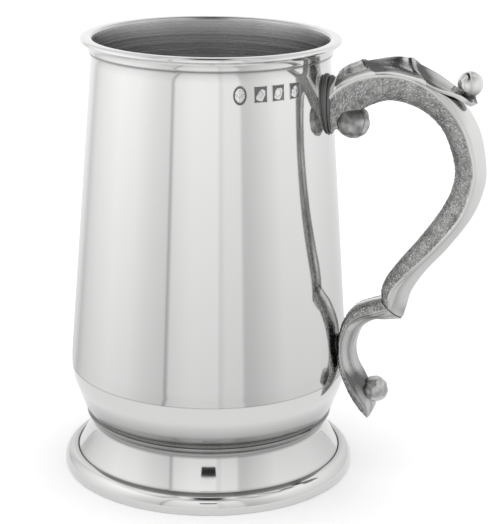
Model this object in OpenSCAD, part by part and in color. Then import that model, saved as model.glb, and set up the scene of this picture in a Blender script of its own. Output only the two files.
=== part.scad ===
// Pewter tankard with a double-scroll handle.
// Millimetres, +Z up. The origin is on the mug's axis, in the plane that it
// stands on. The handle points along +X.

/* [Overall size] */
// Height from the table to the top of the lip
height = 142; // [110:1:175]
// Outside diameter of the flared lip
rim_d = 82; // [68:1:100]
// Largest outside diameter of the body, low on the belly
belly_d = 90; // [74:1:110]
// Outside diameter of the rim that the foot stands on
foot_d = 95.2; // [80:0.2:116]
// Distance from the mug's axis to the back of the handle
handle_reach = 88.6; // [76:0.2:108]

/* [Body] */
// Thickness of the spun wall
wall = 1.3; // [0.9:0.1:2]
// How far the body is drawn in from its widest place to its seat
seat_in = 5; // [3:0.1:8]
// Height of the widest place on the belly
belly_z = 33; // [30:0.5:42]
// Height of the body's lower end
seat_z = 19.2; // [17:0.1:24]
// Thickness of the disc that closes the cup
floor_t = 1.5; // [1:0.1:3]

/* [Lip] */
// How far the lip stands out from the narrowest place under it
lip_over = 3.25; // [2:0.05:6]
// Height of the turned lip ring
lip_h = 4.8; // [3.6:0.1:7]
// Thickness of the lip at its outer edge
lip_edge = 1.3; // [1:0.1:2]

/* [Foot] */
// Thickness of the spun foot
foot_wall = 1.3; // [0.9:0.1:2]
// Height of the narrow waist between body and foot
waist_z = 15.8; // [13:0.1:20]
// How far the waist is drawn in from the body's seat, on the radius
waist_in = 1.3; // [0.5:0.1:3]
// Radius of the round bead that runs round the foot
bead_r = 4.2; // [3:0.1:6]
// Height of the bead's centre over the table
bead_z = 1.7; // [1:0.1:2.5]
// Height of the thin ring between body and foot
ring_h = 1.2; // [0.8:0.1:2]

/* [Handle] */
// Greatest width of the scroll, across the handle
handle_w = 10.5; // [8:0.1:14]
// Width of the scroll at its root on the body
root_w = 8.4; // [6:0.1:12]
// Width of the lower scroll where it touches the body
low_w = 11.5; // [8:0.1:14]
// Height of the tip of the lower scroll over the table
tail_z = 21.5; // [16:0.5:30]
// Radius of the ball inside the root curl
volute_r = 5; // [4:0.1:6.5]
// Radius of the ball on the thumb leaf
thumb_r = 3.9; // [3:0.1:5]
// Radius of the ball on the lower scroll
low_ball_r = 4.3; // [3.4:0.1:5.2]
// Thickness of the thumb leaf
leaf_t = 1.3; // [0.9:0.1:2]
// Thickness of the solder in the seam between the two scrolls
seam_t = 0.4; // [0.2:0.1:0.8]
// Least thickness of the solder between the root and the body
solder_t = 0.4; // [0.2:0.1:1]
// Clearance between the lower scroll and the widest place on the belly
low_gap = 0.3; // [0.1:0.1:1]

/* [Hidden] */
fine = 96;
silver = [0.80, 0.80, 0.79];
bright = [0.87, 0.87, 0.86];
aged = [0.55, 0.55, 0.54];
seam = [0.38, 0.38, 0.37];

rim_r = rim_d / 2;
throat_r = rim_r - lip_over;       // narrowest place, just under the lip
seat_r = belly_d / 2 - seat_in;    // where the body sits on the foot
foot_r = foot_d / 2;
lip_z = height - lip_h;            // underside of the lip ring
throat_z = lip_z - 3.2;            // where the straight wall starts to flare
lip_r = throat_r + 0.55;           // body radius where the lip ring sits

// The belly is a curve whose corner lies a little outside its widest place.
corner_r = belly_d / 2 + 0.35;
low_slope = (corner_r - seat_r) / (belly_z - seat_z);
high_slope = (throat_r - corner_r) / (throat_z - belly_z);
curve_down = 4.6;
curve_up = 6.2;

waist_r = seat_r - waist_in;
ring_z = seat_z - ring_h;          // top of the foot
bead_c = foot_r - bead_r;          // radius of the circle of the bead's centre
groove_z = bead_z + bead_r;        // height of the groove above the bead
ledge_z = groove_z - 1.2;          // ledge that carries the foot's edge
groove_w = 0.15;                   // open width of that groove
edge_r = bead_c - groove_w;        // radius of the foot's lower edge

function q2(a, b, c, n = 8) =
    [for (i = [0 : n]) let (t = i / n)
        (1 - t) * (1 - t) * a + 2 * t * (1 - t) * b + t * t * c];

// Outside of the body wall, from the seat up to the lip.
function body_out() = concat(
    [[seat_r, seat_z]],
    q2([corner_r - low_slope * curve_down, belly_z - curve_down],
       [corner_r, belly_z],
       [corner_r + high_slope * curve_up, belly_z + curve_up], 8),
    q2([throat_r, throat_z], [throat_r - 0.1, throat_z + 1.6],
       [lip_r, lip_z], 4));

function body_in() = [for (p = body_out()) [p[0] - wall, p[1]]];

// Radius of the body's outside at a height on its straight wall.
function wall_r(z) = corner_r + high_slope * (z - belly_z);

function rev(l) = [for (i = [len(l) - 1 : -1 : 0]) l[i]];

module body_shell() {
    color(silver) rotate_extrude($fn = fine)
        polygon(concat(body_out(), rev(body_in())));
}

// Turned ring of the lip: concave under its edge, rounded to the inside.
module lip_ring() {
    color(bright) rotate_extrude($fn = fine) polygon(concat(
        q2([lip_r, lip_z], [lip_r + 0.5, height - lip_edge - 0.2],
           [rim_r - 0.3, height - lip_edge - 0.2], 6),
        q2([rim_r, height - lip_edge], [rim_r, height - 0.3],
           [rim_r - 0.5, height - 0.15], 3),
        q2([rim_r - 1.9, height], [lip_r - 0.5, height],
           [lip_r - 0.7, height - 1.4], 5),
        [[lip_r - wall, lip_z]]));
}

module cup_floor() {
    slope = low_slope * floor_t;
    color(silver) translate([0, 0, seat_z])
        cylinder(h = floor_t, r1 = seat_r - wall,
                 r2 = seat_r - wall + slope, $fn = fine);
}

module seat_ring() {
    color(aged) rotate_extrude($fn = fine) polygon(concat(
        [[seat_r - 4, seat_z], [seat_r - 4, ring_z]],
        q2([seat_r - 0.1, ring_z], [seat_r + 0.6, ring_z + ring_h / 2],
           [seat_r, seat_z], 4)));
}

// Spun foot: a short flare under the ring, the waist, then the trumpet.
function foot_out() = concat(
    q2([seat_r - 0.3, ring_z], [waist_r - 0.1, ring_z - 0.5],
       [waist_r, waist_z], 4),
    q2([waist_r + 0.1, waist_z - 0.6],
       [waist_r + 1.3, (waist_z + groove_z) / 2],
       [edge_r, groove_z], 8));

module foot_dome() {
    inner = [for (p = foot_out()) [p[0] - foot_wall, p[1]]];
    color(silver) rotate_extrude($fn = fine) polygon(concat(
        [[seat_r - 4, ring_z]], foot_out(),
        [[edge_r, ledge_z], [edge_r - foot_wall, ledge_z]],
        [for (i = [len(inner) - 1 : -1 : 4]) inner[i]],
        [[seat_r - 4, waist_z + 0.4]]));
}

// Heavy rim under the foot: a round bead outside, a ledge inside.
module foot_rim() {
    low = asin(bead_z / bead_r);
    color(bright) rotate_extrude($fn = fine) polygon(concat(
        [[edge_r - foot_wall - 1, ledge_z], [edge_r - foot_wall - 1, 0]],
        [for (i = [0 : 12]) let (a = -low + i * (90 + low) / 12)
            [bead_c + bead_r * cos(a), bead_z + bead_r * sin(a)]],
        [[bead_c, ledge_z]]));
}

// ---- Handle ----
// Its outline is drawn on a grid of 100 by 100: across from the root plane
// to the back of the handle, and up from the lower tip to the top.
top_z = height - 3;
rise = top_z - tail_z;
function hz(v) = tail_z + rise * v / 100;
root_x = wall_r(hz(79.5)) + solder_t + 0.5;
low_x = max([for (p = body_out()) p[0]]) + low_gap;
function hp(p) = [root_x + (handle_reach - root_x) * p[0] / 100, hz(p[1])];
function lp(p) = [low_x + (handle_reach - low_x) * p[0] / 100, hz(p[1])];

// Stations of the upper scroll: inner edge, crease, back, width.
upper = [
    [[0, 79.5], [0, 89], [0, 93.5], root_w],
    [[9, 81.5], [7, 92], [9, 96.5], root_w + 0.4],
    [[20, 86], [22, 95], [25, 98.5], root_w + 1],
    [[36, 89], [42, 96], [45, 99.5], handle_w - 0.5],
    [[51, 88.5], [60.5, 94], [63.5, 96.2], handle_w],
    [[64, 86], [76, 89], [81, 91], handle_w],
    [[74, 81.5], [87.5, 82.5], [94.5, 83], handle_w],
    [[81, 73.5], [94, 73.5], [100, 73], handle_w],
    [[80, 67.5], [93, 67.5], [99, 66.5], handle_w],
    [[73, 61], [87, 60], [92, 59], handle_w],
    [[61, 53.5], [73, 52], [78, 50.5], handle_w - 0.3],
    [[48, 46.5], [59, 45.5], [65, 44], handle_w - 0.6],
    [[40, 41.5], [48, 40.5], [56, 38], handle_w - 0.8],
    [[37, 38], [43, 37], [53, 33.5], handle_w - 1],
    [[37.5, 35.5], [43, 33.5], [51, 30.5], handle_w - 1]];

// Stations of the lower scroll: outer edge, crease, inner edge, width.
lower = [
    [[19.5, 34], [25, 31.5], [33, 29.5], handle_w - 1],
    [[9, 32], [14.5, 30], [24, 29], handle_w - 0.5],
    [[2.5, 28.5], [6.5, 27.5], [15.5, 26.5], low_w - 0.5],
    [[0, 25], [2.5, 24], [11, 23], low_w],
    [[0, 20], [1.5, 20], [9.5, 19.5], low_w],
    [[0, 15], [3, 16], [11.5, 16], low_w - 0.5],
    [[2.5, 11], [6.5, 12.5], [16.5, 13], low_w - 2],
    [[8, 6.5], [14, 7], [25, 7.5], low_w - 4],
    [[14.5, 2.5], [19.5, 3.5], [27, 4.5], low_w - 7],
    [[20.5, 0], [21.5, 0.3], [22.5, 0.6], low_w - 10]];

// Catmull-Rom curve through a list, at place x counted in stations.
function cr(l, x) =
    let (n = len(l) - 1, i = min(floor(x), n - 1), u = x - i,
         a = l[max(i - 1, 0)], b = l[i], c = l[i + 1], d = l[min(i + 2, n)])
    (2 * b + (c - a) * u + (2 * a - 5 * b + 4 * c - d) * u * u
        + (3 * b - 3 * c + d - a) * u * u * u) / 2;

function row(s, k) = [for (p = s) p[k]];

// Half section at a place: [x, z, half width], from inner edge to back.
function half(e, c, b, w) = [
    [e[0], e[1], 0.26 * w],
    [0.72 * e[0] + 0.28 * c[0], 0.72 * e[1] + 0.28 * c[1], 0.45 * w],
    [c[0], c[1], 0.5 * w],
    [0.5 * c[0] + 0.5 * b[0], 0.5 * c[1] + 0.5 * b[1], 0.4 * w],
    [b[0], b[1], 0.14 * w]];

function upper_half(x) = half(hp(cr(row(upper, 0), x)),
    hp(cr(row(upper, 1), x)), hp(cr(row(upper, 2), x)),
    cr(row(upper, 3), x));

// The seam's plane is the last station, moved square to itself.
last = upper_half(len(upper) - 1);
joint = [last[4][0] - last[0][0], last[4][1] - last[0][1]];
joint_n = [joint[1], -joint[0]] / norm(joint) * seam_t;
first = [for (p = last) [p[0] + joint_n[0], p[1] + joint_n[1], p[2]]];

// The outer edge stays on the plane that the solder meets.
function on_plane(p) = [max(p[0], low_x), p[1]];
function lower_half(x) = half(on_plane(lp(cr(row(lower, 0), x))),
    lp(cr(row(lower, 1), x)), lp(cr(row(lower, 2), x)),
    cr(row(lower, 3), x));

// A whole section from a half: up one side, back down the other.
function ring_of(h) = concat(
    [for (p = h) [p[0], -p[2], p[1]]],
    [for (i = [len(h) - 1 : -1 : 0]) [h[i][0], h[i][2], h[i][1]]]);

// Solid through a list of closed sections with equal counts. flip is for
// sections that run the other way round.
module loft(s, flip = false) {
    n = len(s);
    m = len(s[0]);
    e = (n - 1) * m;
    faces = concat(
        [for (j = [0 : m / 2 - 2]) each [[j, j + 1, m - 2 - j],
                                         [j, m - 2 - j, m - 1 - j]]],
        [for (j = [0 : m / 2 - 2]) each
            [[e + j, e + m - 2 - j, e + j + 1],
             [e + j, e + m - 1 - j, e + m - 2 - j]]],
        [for (i = [0 : n - 2]) for (j = [0 : m - 1]) let (k = (j + 1) % m)
            each [[i * m + j, (i + 1) * m + j, (i + 1) * m + k],
                  [i * m + j, (i + 1) * m + k, i * m + k]]]);
    polyhedron(points = [for (r = s) each r],
        faces = flip ? faces : [for (f = faces) rev(f)], convexity = 6);
}

step = 0.4;
volute = hp([13.5, 82.5]);
module volute_ball() {
    translate([volute[0], 0, volute[1]]) sphere(r = volute_r, $fn = 48);
}

module upper_scroll() {
    n = len(upper) - 1;
    color(aged) difference() {
        loft([for (x = [0 : step : n]) ring_of(upper_half(x))]);
        volute_ball();
    }
}

module root_volute() {
    color(aged) volute_ball();
}

// Body as a full solid, used to shape what is soldered to it.
module body_solid() {
    rotate_extrude($fn = 4 * fine) polygon(concat(
        [[0, seat_z]], body_out(), [[0, lip_z]]));
}

module root_solder() {
    a = ring_of(upper_half(0));
    b = [for (p = a) [p[0] - 6, p[1], p[2]]];
    color(seam) difference() {
        loft([b, a]);
        body_solid();
    }
}

low_ball = lp([26.3, 8.7]);
module low_ball_at() {
    translate([low_ball[0], 0, low_ball[1]])
        sphere(r = low_ball_r, $fn = 48);
}

module lower_scroll() {
    n = len(lower) - 1;
    color(aged) difference() {
        loft(concat([ring_of(first)],
            [for (x = [0 : step : n]) ring_of(lower_half(x))],
            [ring_of(lower_half(n))]));
        low_ball_at();
    }
}

module lower_ball() {
    color(aged) low_ball_at();
}

module lower_solder() {
    z0 = hz(16);
    z1 = hz(24);
    w = 0.5 * low_w;
    color(seam) difference() {
        translate([low_x - 5, -w / 2, z0]) cube([5, w, z1 - z0]);
        body_solid();
    }
}

module scroll_seam() {
    color(seam) loft([ring_of(last), ring_of(first)]);
}

// ---- Thumb leaf: lies over the top of the scroll, then lifts off. ----
leaf_0 = 0.4;
leaf_1 = 4.4;
function leaf_ring(x) =
    let (h = upper_half(x), c = h[2], m = h[3], b = h[4],
         e = (x - leaf_0) / (leaf_1 - leaf_0),
         t = leaf_t * (0.6 + 0.4 * abs(sin(540 * e))),
         d = [b[0] - h[0][0], b[1] - h[0][1]],
         o = d / norm(d) * t,
         low = [c, m, b],
         up = [[c[0], c[1], c[2] + 0.6],
               [m[0] + o[0] * 0.8, m[1] + o[1] * 0.8, m[2] + 0.4],
               [b[0] + o[0], b[1] + o[1], b[2] + 0.3]])
    concat([for (p = low) [p[0], -p[2], p[1]]],
           [for (i = [2 : -1 : 0]) [low[i][0], low[i][2], low[i][1]]],
           [for (p = up) [p[0], p[2], p[1]]],
           [for (i = [2 : -1 : 0]) [up[i][0], -up[i][2], up[i][1]]]);

// The free end lifts off the scroll's back: station, lift, width.
lobe = [[3.5, 1.0, 6], [4.2, 1.2, 7.4], [4.8, 1.5, 8], [5.35, 2.4, 7],
        [5.6, 3.3, 4.5]];
function lobe_at(p) = let (b = upper_half(p[0])[4])
    [b[0] + 0.3 * p[1], b[1] + 0.95 * p[1], p[2]];
lobe_path = [for (p = lobe) lobe_at(p)];
function lobe_ring(x) =
    let (q = cr(lobe_path, x), w = q[2] / 2)
    [[q[0], -w, q[1] + 0.3], [q[0], w, q[1] + 0.3],
     [q[0], w, q[1] - 0.4], [q[0], 0.4 * w, q[1] - 0.8],
     [q[0], -0.4 * w, q[1] - 0.8], [q[0], -w, q[1] - 0.4]];

// The ball stands on a small pad near the tip of the leaf.
pad_x = lobe_path[3][0];
pad_z = lobe_path[3][1] + 0.6;
neck_h = 0.5;
thumb_z = pad_z + neck_h + thumb_r;

module thumb_ball_at() {
    translate([pad_x, 0, pad_z]) cylinder(h = thumb_r, r = 1.6, $fn = 32);
    translate([pad_x, 0, thumb_z]) sphere(r = thumb_r, $fn = 48);
}

module thumb_leaf() {
    color(bright) difference() {
        union() {
            loft([for (x = [leaf_0 : step : leaf_1]) leaf_ring(x)],
                flip = true);
            loft([for (x = [0 : step / 2 : 4]) lobe_ring(x)]);
            translate([pad_x, 0, pad_z - 1])
                cylinder(h = 1, r = 1.75, $fn = 32);
        }
        thumb_ball_at();
    }
}

module thumb_ball() {
    color(bright) thumb_ball_at();
}

body_shell();
lip_ring();
cup_floor();
seat_ring();
foot_dome();
foot_rim();
upper_scroll();
root_volute();
root_solder();
thumb_leaf();
thumb_ball();
scroll_seam();
lower_scroll();
lower_ball();
lower_solder();
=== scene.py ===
"""Pewter tankard with a double-scroll handle: its finished pieces, their metals and the studio."""

import math

import bmesh
import bpy
from mathutils import Matrix, Vector, noise


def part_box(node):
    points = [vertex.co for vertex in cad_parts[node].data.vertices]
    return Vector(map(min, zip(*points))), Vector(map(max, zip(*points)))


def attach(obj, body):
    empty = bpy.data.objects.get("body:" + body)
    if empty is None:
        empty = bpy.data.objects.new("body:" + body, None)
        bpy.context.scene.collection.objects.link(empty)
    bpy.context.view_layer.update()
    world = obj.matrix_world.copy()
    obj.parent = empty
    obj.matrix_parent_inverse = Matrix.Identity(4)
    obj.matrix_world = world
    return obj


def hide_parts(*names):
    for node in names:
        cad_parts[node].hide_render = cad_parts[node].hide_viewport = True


bl_info = {
    "name": "Pewter Tankard",
    "version": (1, 0, 0),
    "blender": (4, 5, 0),
    "location": "View3D > Sidebar > Tankard",
    "description": "Spins, casts and solders a pewter tankard around its packed frame",
    "category": "Add Mesh",
}

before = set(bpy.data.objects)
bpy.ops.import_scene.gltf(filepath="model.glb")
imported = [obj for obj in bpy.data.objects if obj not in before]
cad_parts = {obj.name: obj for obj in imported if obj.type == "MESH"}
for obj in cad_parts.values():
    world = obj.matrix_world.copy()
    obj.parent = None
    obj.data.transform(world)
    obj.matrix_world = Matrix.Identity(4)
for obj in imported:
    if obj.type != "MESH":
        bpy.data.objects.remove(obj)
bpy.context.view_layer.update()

MM = 0.001
TAU = 2 * math.pi


# ---- Sizes that come from the frame, in millimetres ----

def node_box(node):
    """Lowest and highest corner of a CAD node, in millimetres."""
    low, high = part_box(node)
    return Vector(low) / MM, Vector(high) / MM


LIP_LOW, LIP_HIGH = node_box("lip_ring")
SHELL_LOW = node_box("body_shell")[0]
FLOOR_LOW, FLOOR_HIGH = node_box("cup_floor")
SEAT_LOW = node_box("seat_ring")[0]
RIM_HIGH = node_box("foot_rim")[1]
UPPER_LOW, UPPER_HIGH = node_box("upper_scroll")
LOWER_LOW = node_box("lower_scroll")[0]

HEIGHT = LIP_HIGH.z
RIM_R = LIP_HIGH.x
LIP_Z = LIP_LOW.z
SEAT_Z = SHELL_LOW.z
RING_Z = SEAT_LOW.z
FOOT_R = RIM_HIGH.x
GROOVE_Z = RIM_HIGH.z
REACH = UPPER_HIGH.x
ROOT_X = UPPER_LOW.x
LOW_X = LOWER_LOW.x
TAIL_Z = LOWER_LOW.z
TOP_Z = HEIGHT - 3          # top of the grid that the handle's stations are on
THROAT_DROP = 3.2           # how far under the lip the wall begins to flare
CORNER_OUT = 0.35           # how far the corner of the belly's curve lies outside the belly
LIP_STEP = 0.55             # how far the flare opens by the time it meets the lip
MOUTH_IN = 0.75             # how far the mouth lies inside the throat
MOUTH_LOW, MOUTH_BEND = 116, 131    # heights where the inside begins to open, and bends most
# TUCK and TUCK_LINE place the painted shade under the belly.
TUCK, TUCK_LINE = (19.5, 23), (24, 25.2)    # heights over which the dark under the belly ends


def length(name, about, default, low, high):
    """A length property, given in millimetres."""
    return bpy.props.FloatProperty(name=name, description=about, default=default * MM,
                                   min=low * MM, max=high * MM, unit="LENGTH")


def colour(name, about, level):
    """A colour property, given as red, green and blue."""
    return bpy.props.FloatVectorProperty(name=name, description=about, subtype="COLOR",
                                         default=level, min=0, max=1)


def share(name, about, default, low, high):
    """A property between two shares of one."""
    return bpy.props.FloatProperty(name=name, description=about, default=default,
                                   min=low, max=high, subtype="FACTOR")


def tilt(name, about, degrees):
    """An angle property, given in degrees."""
    return bpy.props.FloatProperty(name=name, description=about,
                                   default=math.radians(degrees), subtype="ANGLE")


class TankardSizes(bpy.types.PropertyGroup):
    """Sizes of the spun and cast pieces that the frame doesn't give."""
    wall: length("Wall", "Thickness of the spun wall", 1.3, 0.5, 3)
    corner_r: length("Belly corner", "Radius of the corner that the belly is drawn towards",
                     45.35, 40, 50)
    belly_z: length("Belly height", "Height of the widest place on the belly", 33, 28, 42)
    lip_over: length("Lip overhang", "How far the lip stands out from the throat under it",
                     3.25, 2, 6)
    seat_in: length("Seat inset", "How far the belly is drawn in to its seat on the foot",
                    5, 3, 8)
    waist_in: length("Waist inset", "How far the foot's waist is drawn in from the seat",
                     1.3, 0.5, 3)
    waist_z: length("Waist height", "Height of the foot's narrowest place", 15.8, 12, 17)
    bead_r: length("Foot bead", "Radius of the round bead that runs round the foot", 4.2, 3, 6)
    edge_soften: length("Edge softening", "Width of the worn round on each turned edge",
                        0.12, 0.02, 0.5)
    handle_w: length("Handle width", "Greatest width of the upper scroll", 10.5, 8, 14)
    root_w: length("Root width", "Width of the scroll at its root on the body", 8.4, 6, 12)
    low_w: length("Lower width", "Width of the lower scroll where it touches the body",
                  11.5, 8, 14)
    stipple: length("Stipple depth", "Depth of the punched stipple on the cast scrolls",
                    0.3, 0, 0.6)
    stipple_step: length("Stipple spacing", "Distance from one punched dot to the next",
                         0.66, 0.3, 2)
    leaf_t: length("Leaf thickness", "Thickness of the thumb leaf", 0.9, 0.5, 2)
    mark_z: length("Mark height", "Height of the row of small punched marks", 130.4, 100, 132)


class TankardFinish(bpy.types.PropertyGroup):
    """Colours and finishes of the metals."""
    polished: colour("Polished pewter", "Colour of the polished outside", (0.72, 0.72, 0.715))
    turned: colour("Turned pewter", "Colour of the turned inside", (0.6, 0.6, 0.597))
    cast: colour("Cast pewter", "Colour of the high places on the castings",
                 (0.66, 0.66, 0.655))
    # This colour darkens the castings' hollows with patina, and it is also the colour of the
    # painted shade on the body, lip and foot.
    aged_and_shaded: colour("Antique hollows", "Colour of the darkened hollows in the castings",
                 (0.16, 0.16, 0.158))
    solder: colour("Solder", "Colour of the dull solder in the seams", (0.12, 0.12, 0.119))
    polish: share("Polish roughness", "Roughness of the polished outside", 0.055, 0.01, 0.5)
    inside: share("Inside roughness", "Roughness of the turned inside", 0.25, 0.05, 0.8)


class TankardStudio(bpy.types.PropertyGroup):
    """The light tent and the camera."""
    sky: bpy.props.FloatProperty(
        name="Soft light", description="Strength of the even white light", default=1.3, min=0)
    tent_r: length("Tent radius", "Radius of the light tent round the mug", 150, 120, 1000)
    tent_h: length("Tent height", "Height of the light tent", 450, 200, 2000)
    view_azimuth: tilt("Camera azimuth", "Turn of the camera round the mug, from the front", 20)
    view_distance: length("Camera distance", "Distance from the mug's axis to the camera",
                          544, 200, 3000)
    view_height: length("Camera height", "Height of the camera over the table",
                        233.45, 0, 2000)
    view_pitch: tilt("Camera pitch", "How far the camera looks down", 16.91)
    view_yaw: tilt("Camera yaw", "How far the camera looks past the axis to the right", 1.34)
    view_roll: tilt("Camera roll", "Tilt of the camera about its own axis", 0.73)
    lens: bpy.props.FloatProperty(
        name="Lens", description="Focal length of the camera, in millimetres",
        default=120.3, min=20, max=400)


# ---- Curves ----

def curve3(a, b, c, count=12):
    """Points of the quadratic curve from a to c that is drawn towards b."""
    points = []
    for i in range(count + 1):
        t = i / count
        points.append(tuple((1 - t) ** 2 * p + 2 * t * (1 - t) * q + t * t * r
                            for p, q, r in zip(a, b, c)))
    return points


def arc(middle, radius, start, end, count):
    """Points round a middle, from one angle to another."""
    angles = [start + (end - start) * i / count for i in range(count + 1)]
    return [(middle[0] + radius * math.cos(a), middle[1] + radius * math.sin(a)) for a in angles]


def through(values, place):
    """Catmull-Rom curve through a list of numbers, at a place counted in stations."""
    last = len(values) - 1
    i = min(int(place), last - 1)
    u = place - i
    a, b, c, d = values[max(i - 1, 0)], values[i], values[i + 1], values[min(i + 2, last)]
    return (2 * b + (c - a) * u + (2 * a - 5 * b + 4 * c - d) * u * u
            + (3 * b - 3 * c + d - a) * u ** 3) / 2


def smooth(low, high, value):
    """0 below low, 1 above high, and a smooth step between."""
    t = min(max((value - low) / (high - low), 0), 1)
    return t * t * (3 - 2 * t)


def bump(value, centre, width):
    """A soft hump of height 1 round a centre."""
    return math.exp(-((value - centre) / width) ** 2)


def throat(sizes):
    """Radius and height of the throat, where the wall begins to flare under the lip."""
    return RIM_R - sizes.lip_over / MM, LIP_Z - THROAT_DROP


def body_profile(sizes):
    """Outside of the wall, from the seat to the lip, as radius and height."""
    corner_r, belly_z = sizes.corner_r / MM, sizes.belly_z / MM
    throat_r, throat_z = throat(sizes)
    seat_r = corner_r - CORNER_OUT - sizes.seat_in / MM
    down = (corner_r - seat_r) / (belly_z - SEAT_Z)
    up = (throat_r - corner_r) / (throat_z - belly_z)
    drop, rise = 4.6, 6.2       # how far the belly's curve runs below and over its corner
    belly = curve3((corner_r - down * drop, belly_z - drop), (corner_r, belly_z),
                   (corner_r + up * rise, belly_z + rise), 24)
    flare = curve3((throat_r, throat_z), (throat_r - 0.1, throat_z + 1.6),
                   (throat_r + LIP_STEP, LIP_Z), 10)
    wall = [(corner_r + up * (z - belly_z), z)
            for z in range(round(belly_z) + 12, int(throat_z) - 1, 10)]
    return [(seat_r, SEAT_Z)] + belly + wall + flare


def inside_top(sizes):
    """The inside near the lip: it opens gently, so the mouth is nearly straight."""
    end_r = throat(sizes)[0] - MOUTH_IN
    low = (wall_radius(sizes, MOUTH_LOW) - sizes.wall / MM, MOUTH_LOW)
    return curve3(low, (end_r - 0.15, MOUTH_BEND), (end_r, LIP_Z), 12)


def wall_radius(sizes, z):
    """Radius of the straight wall at a height, both in millimetres."""
    corner_r, belly_z = sizes.corner_r / MM, sizes.belly_z / MM
    throat_r, throat_z = throat(sizes)
    return corner_r + (throat_r - corner_r) * (z - belly_z) / (throat_z - belly_z)


# ---- Making and finishing a piece ----

def new_object(name, bm, materials):
    """An object in the scene that takes over a bmesh's shape."""
    mesh = bpy.data.meshes.new(name)
    bm.to_mesh(mesh)
    bm.free()
    for material in materials:
        mesh.materials.append(material)
    obj = bpy.data.objects.new(name, mesh)
    bpy.context.scene.collection.objects.link(obj)
    return obj


def finish_piece(bm, name, nodes, slot, *metals, sharp=40):
    """Turns a bmesh into a named piece that rides on the mug and stands for its nodes."""
    piece = new_object(name, bm, [bpy.data.materials[metal] for metal in metals])
    piece.data.shade_smooth()
    piece.data.set_sharp_from_angle(angle=math.radians(sharp))
    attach(piece, "root")
    if nodes:
        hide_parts(*nodes)


def shade_hollows(bm, amount):
    """Paints shade into a piece: sets its darkening attribute to an amount given by a function of
    the place.
    """
    layer = bm.verts.layers.float.new("patina_and_shade")
    for v in bm.verts:
        v[layer] = amount(v.co / MM)


def spun(profile, closed=True, steps=192, axis="Z", centre=(0, 0, 0)):
    """A bmesh turned from a profile of radius and height in millimetres."""
    bm = bmesh.new()
    at = Vector(centre) * MM
    verts = [bm.verts.new(Vector((r, 0, z)) * MM) for r, z in profile]
    edges = [bm.edges.new(pair) for pair in zip(verts, verts[1:])]
    if closed:
        edges.append(bm.edges.new((verts[-1], verts[0])))
    bmesh.ops.spin(bm, geom=verts + edges, cent=(0, 0, 0), axis=(0, 0, 1), angle=TAU,
                   steps=steps, use_merge=True, use_duplicate=False)
    bmesh.ops.remove_doubles(bm, verts=bm.verts, dist=1e-7)
    if axis == "Y":
        bmesh.ops.rotate(bm, verts=bm.verts, cent=(0, 0, 0),
                         matrix=Matrix.Rotation(math.pi / 2, 3, "X"))
    bmesh.ops.translate(bm, verts=bm.verts, vec=at)
    bmesh.ops.recalc_face_normals(bm, faces=bm.faces)
    return bm


def turn_inside(bm, lean):
    """Gives the second metal to the faces that lean further than this towards the axis."""
    for face in bm.faces:
        out = face.calc_center_median().xy
        face.material_index = int(face.normal.xy.dot(out) < -lean * out.length)


def soften(bm, width, crisp=None):
    """Bevels each sharp edge, as wear does, but for those at a crisp radius and height."""
    limit = math.radians(34)
    sharp = [e for e in bm.edges if len(e.link_faces) == 2 and e.calc_face_angle(0) > limit]
    if crisp:
        sharp = [e for e in sharp if abs(e.verts[0].co.xy.length / MM - crisp[0]) > 0.05
                 or abs(e.verts[0].co.z / MM - crisp[1]) > 0.05]
    bmesh.ops.bevel(bm, geom=sharp, offset=width, offset_type="OFFSET", segments=2,
                    profile=0.5, affect="EDGES", clamp_overlap=True, material=-1)


def verts_in(geom):
    """The vertices in an operator's result."""
    return [g for g in geom if isinstance(g, bmesh.types.BMVert)]


def tube_grid(along, around):
    """A grid whose x runs from 0 to 1 along a tube and whose y runs from 0 to 1 round it."""
    bm = bmesh.new()
    bmesh.ops.create_grid(bm, x_segments=along, y_segments=around, size=0.5)
    bmesh.ops.translate(bm, verts=bm.verts, vec=(0.5, 0.5, 0))
    return bm


def close_tube(bm):
    """Merges the seam of a tube, fills its two ends and turns its faces outwards."""
    bmesh.ops.remove_doubles(bm, verts=bm.verts, dist=1e-6)
    rims = [e for e in bm.edges if len(e.link_faces) == 1]
    filled = bmesh.ops.holes_fill(bm, edges=rims, sides=0)["faces"]
    bmesh.ops.triangulate(bm, faces=filled)
    bmesh.ops.recalc_face_normals(bm, faces=bm.faces)


# ---- Node trees ----

class Figure:
    """A number in a node tree. Arithmetic with it adds Math nodes."""

    def __init__(self, tree, socket):
        self.tree, self.socket = tree, socket

    def math(self, operation, *others):
        """A Math node's result on this number and others, each a Figure or a plain value."""
        node = self.tree.nodes.new("ShaderNodeMath")
        node.operation = operation
        for socket, value in zip(node.inputs, (self, *others)):
            if isinstance(value, Figure):
                self.tree.links.new(value.socket, socket)
            else:
                socket.default_value = value
        return Figure(self.tree, node.outputs[0])

    def __add__(self, other):
        return self.math("ADD", other)

    def __sub__(self, other):
        return self.math("SUBTRACT", other)

    def __mul__(self, other):
        return self.math("MULTIPLY", other)

    def feed(self, socket):
        """Links this number to an input."""
        self.tree.links.new(self.socket, socket)


def split_figures(tree, vector):
    """The x, y and z of a linked vector."""
    split = tree.nodes.new("ShaderNodeSeparateXYZ")
    tree.links.new(vector, split.inputs[0])
    return [Figure(tree, socket) for socket in split.outputs]


def noise_figure(tree, vector, scale, detail, stretch=None):
    """Noise on a vector, which may be stretched first."""
    if stretch:
        mapping = tree.nodes.new("ShaderNodeMapping")
        mapping.inputs["Scale"].default_value = stretch
        tree.links.new(vector, mapping.inputs["Vector"])
        vector = mapping.outputs["Vector"]
    node = tree.nodes.new("ShaderNodeTexNoise")
    node.inputs["Scale"].default_value = scale
    node.inputs["Detail"].default_value = detail
    tree.links.new(vector, node.inputs["Vector"])
    return Figure(tree, node.outputs["Fac"])


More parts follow.
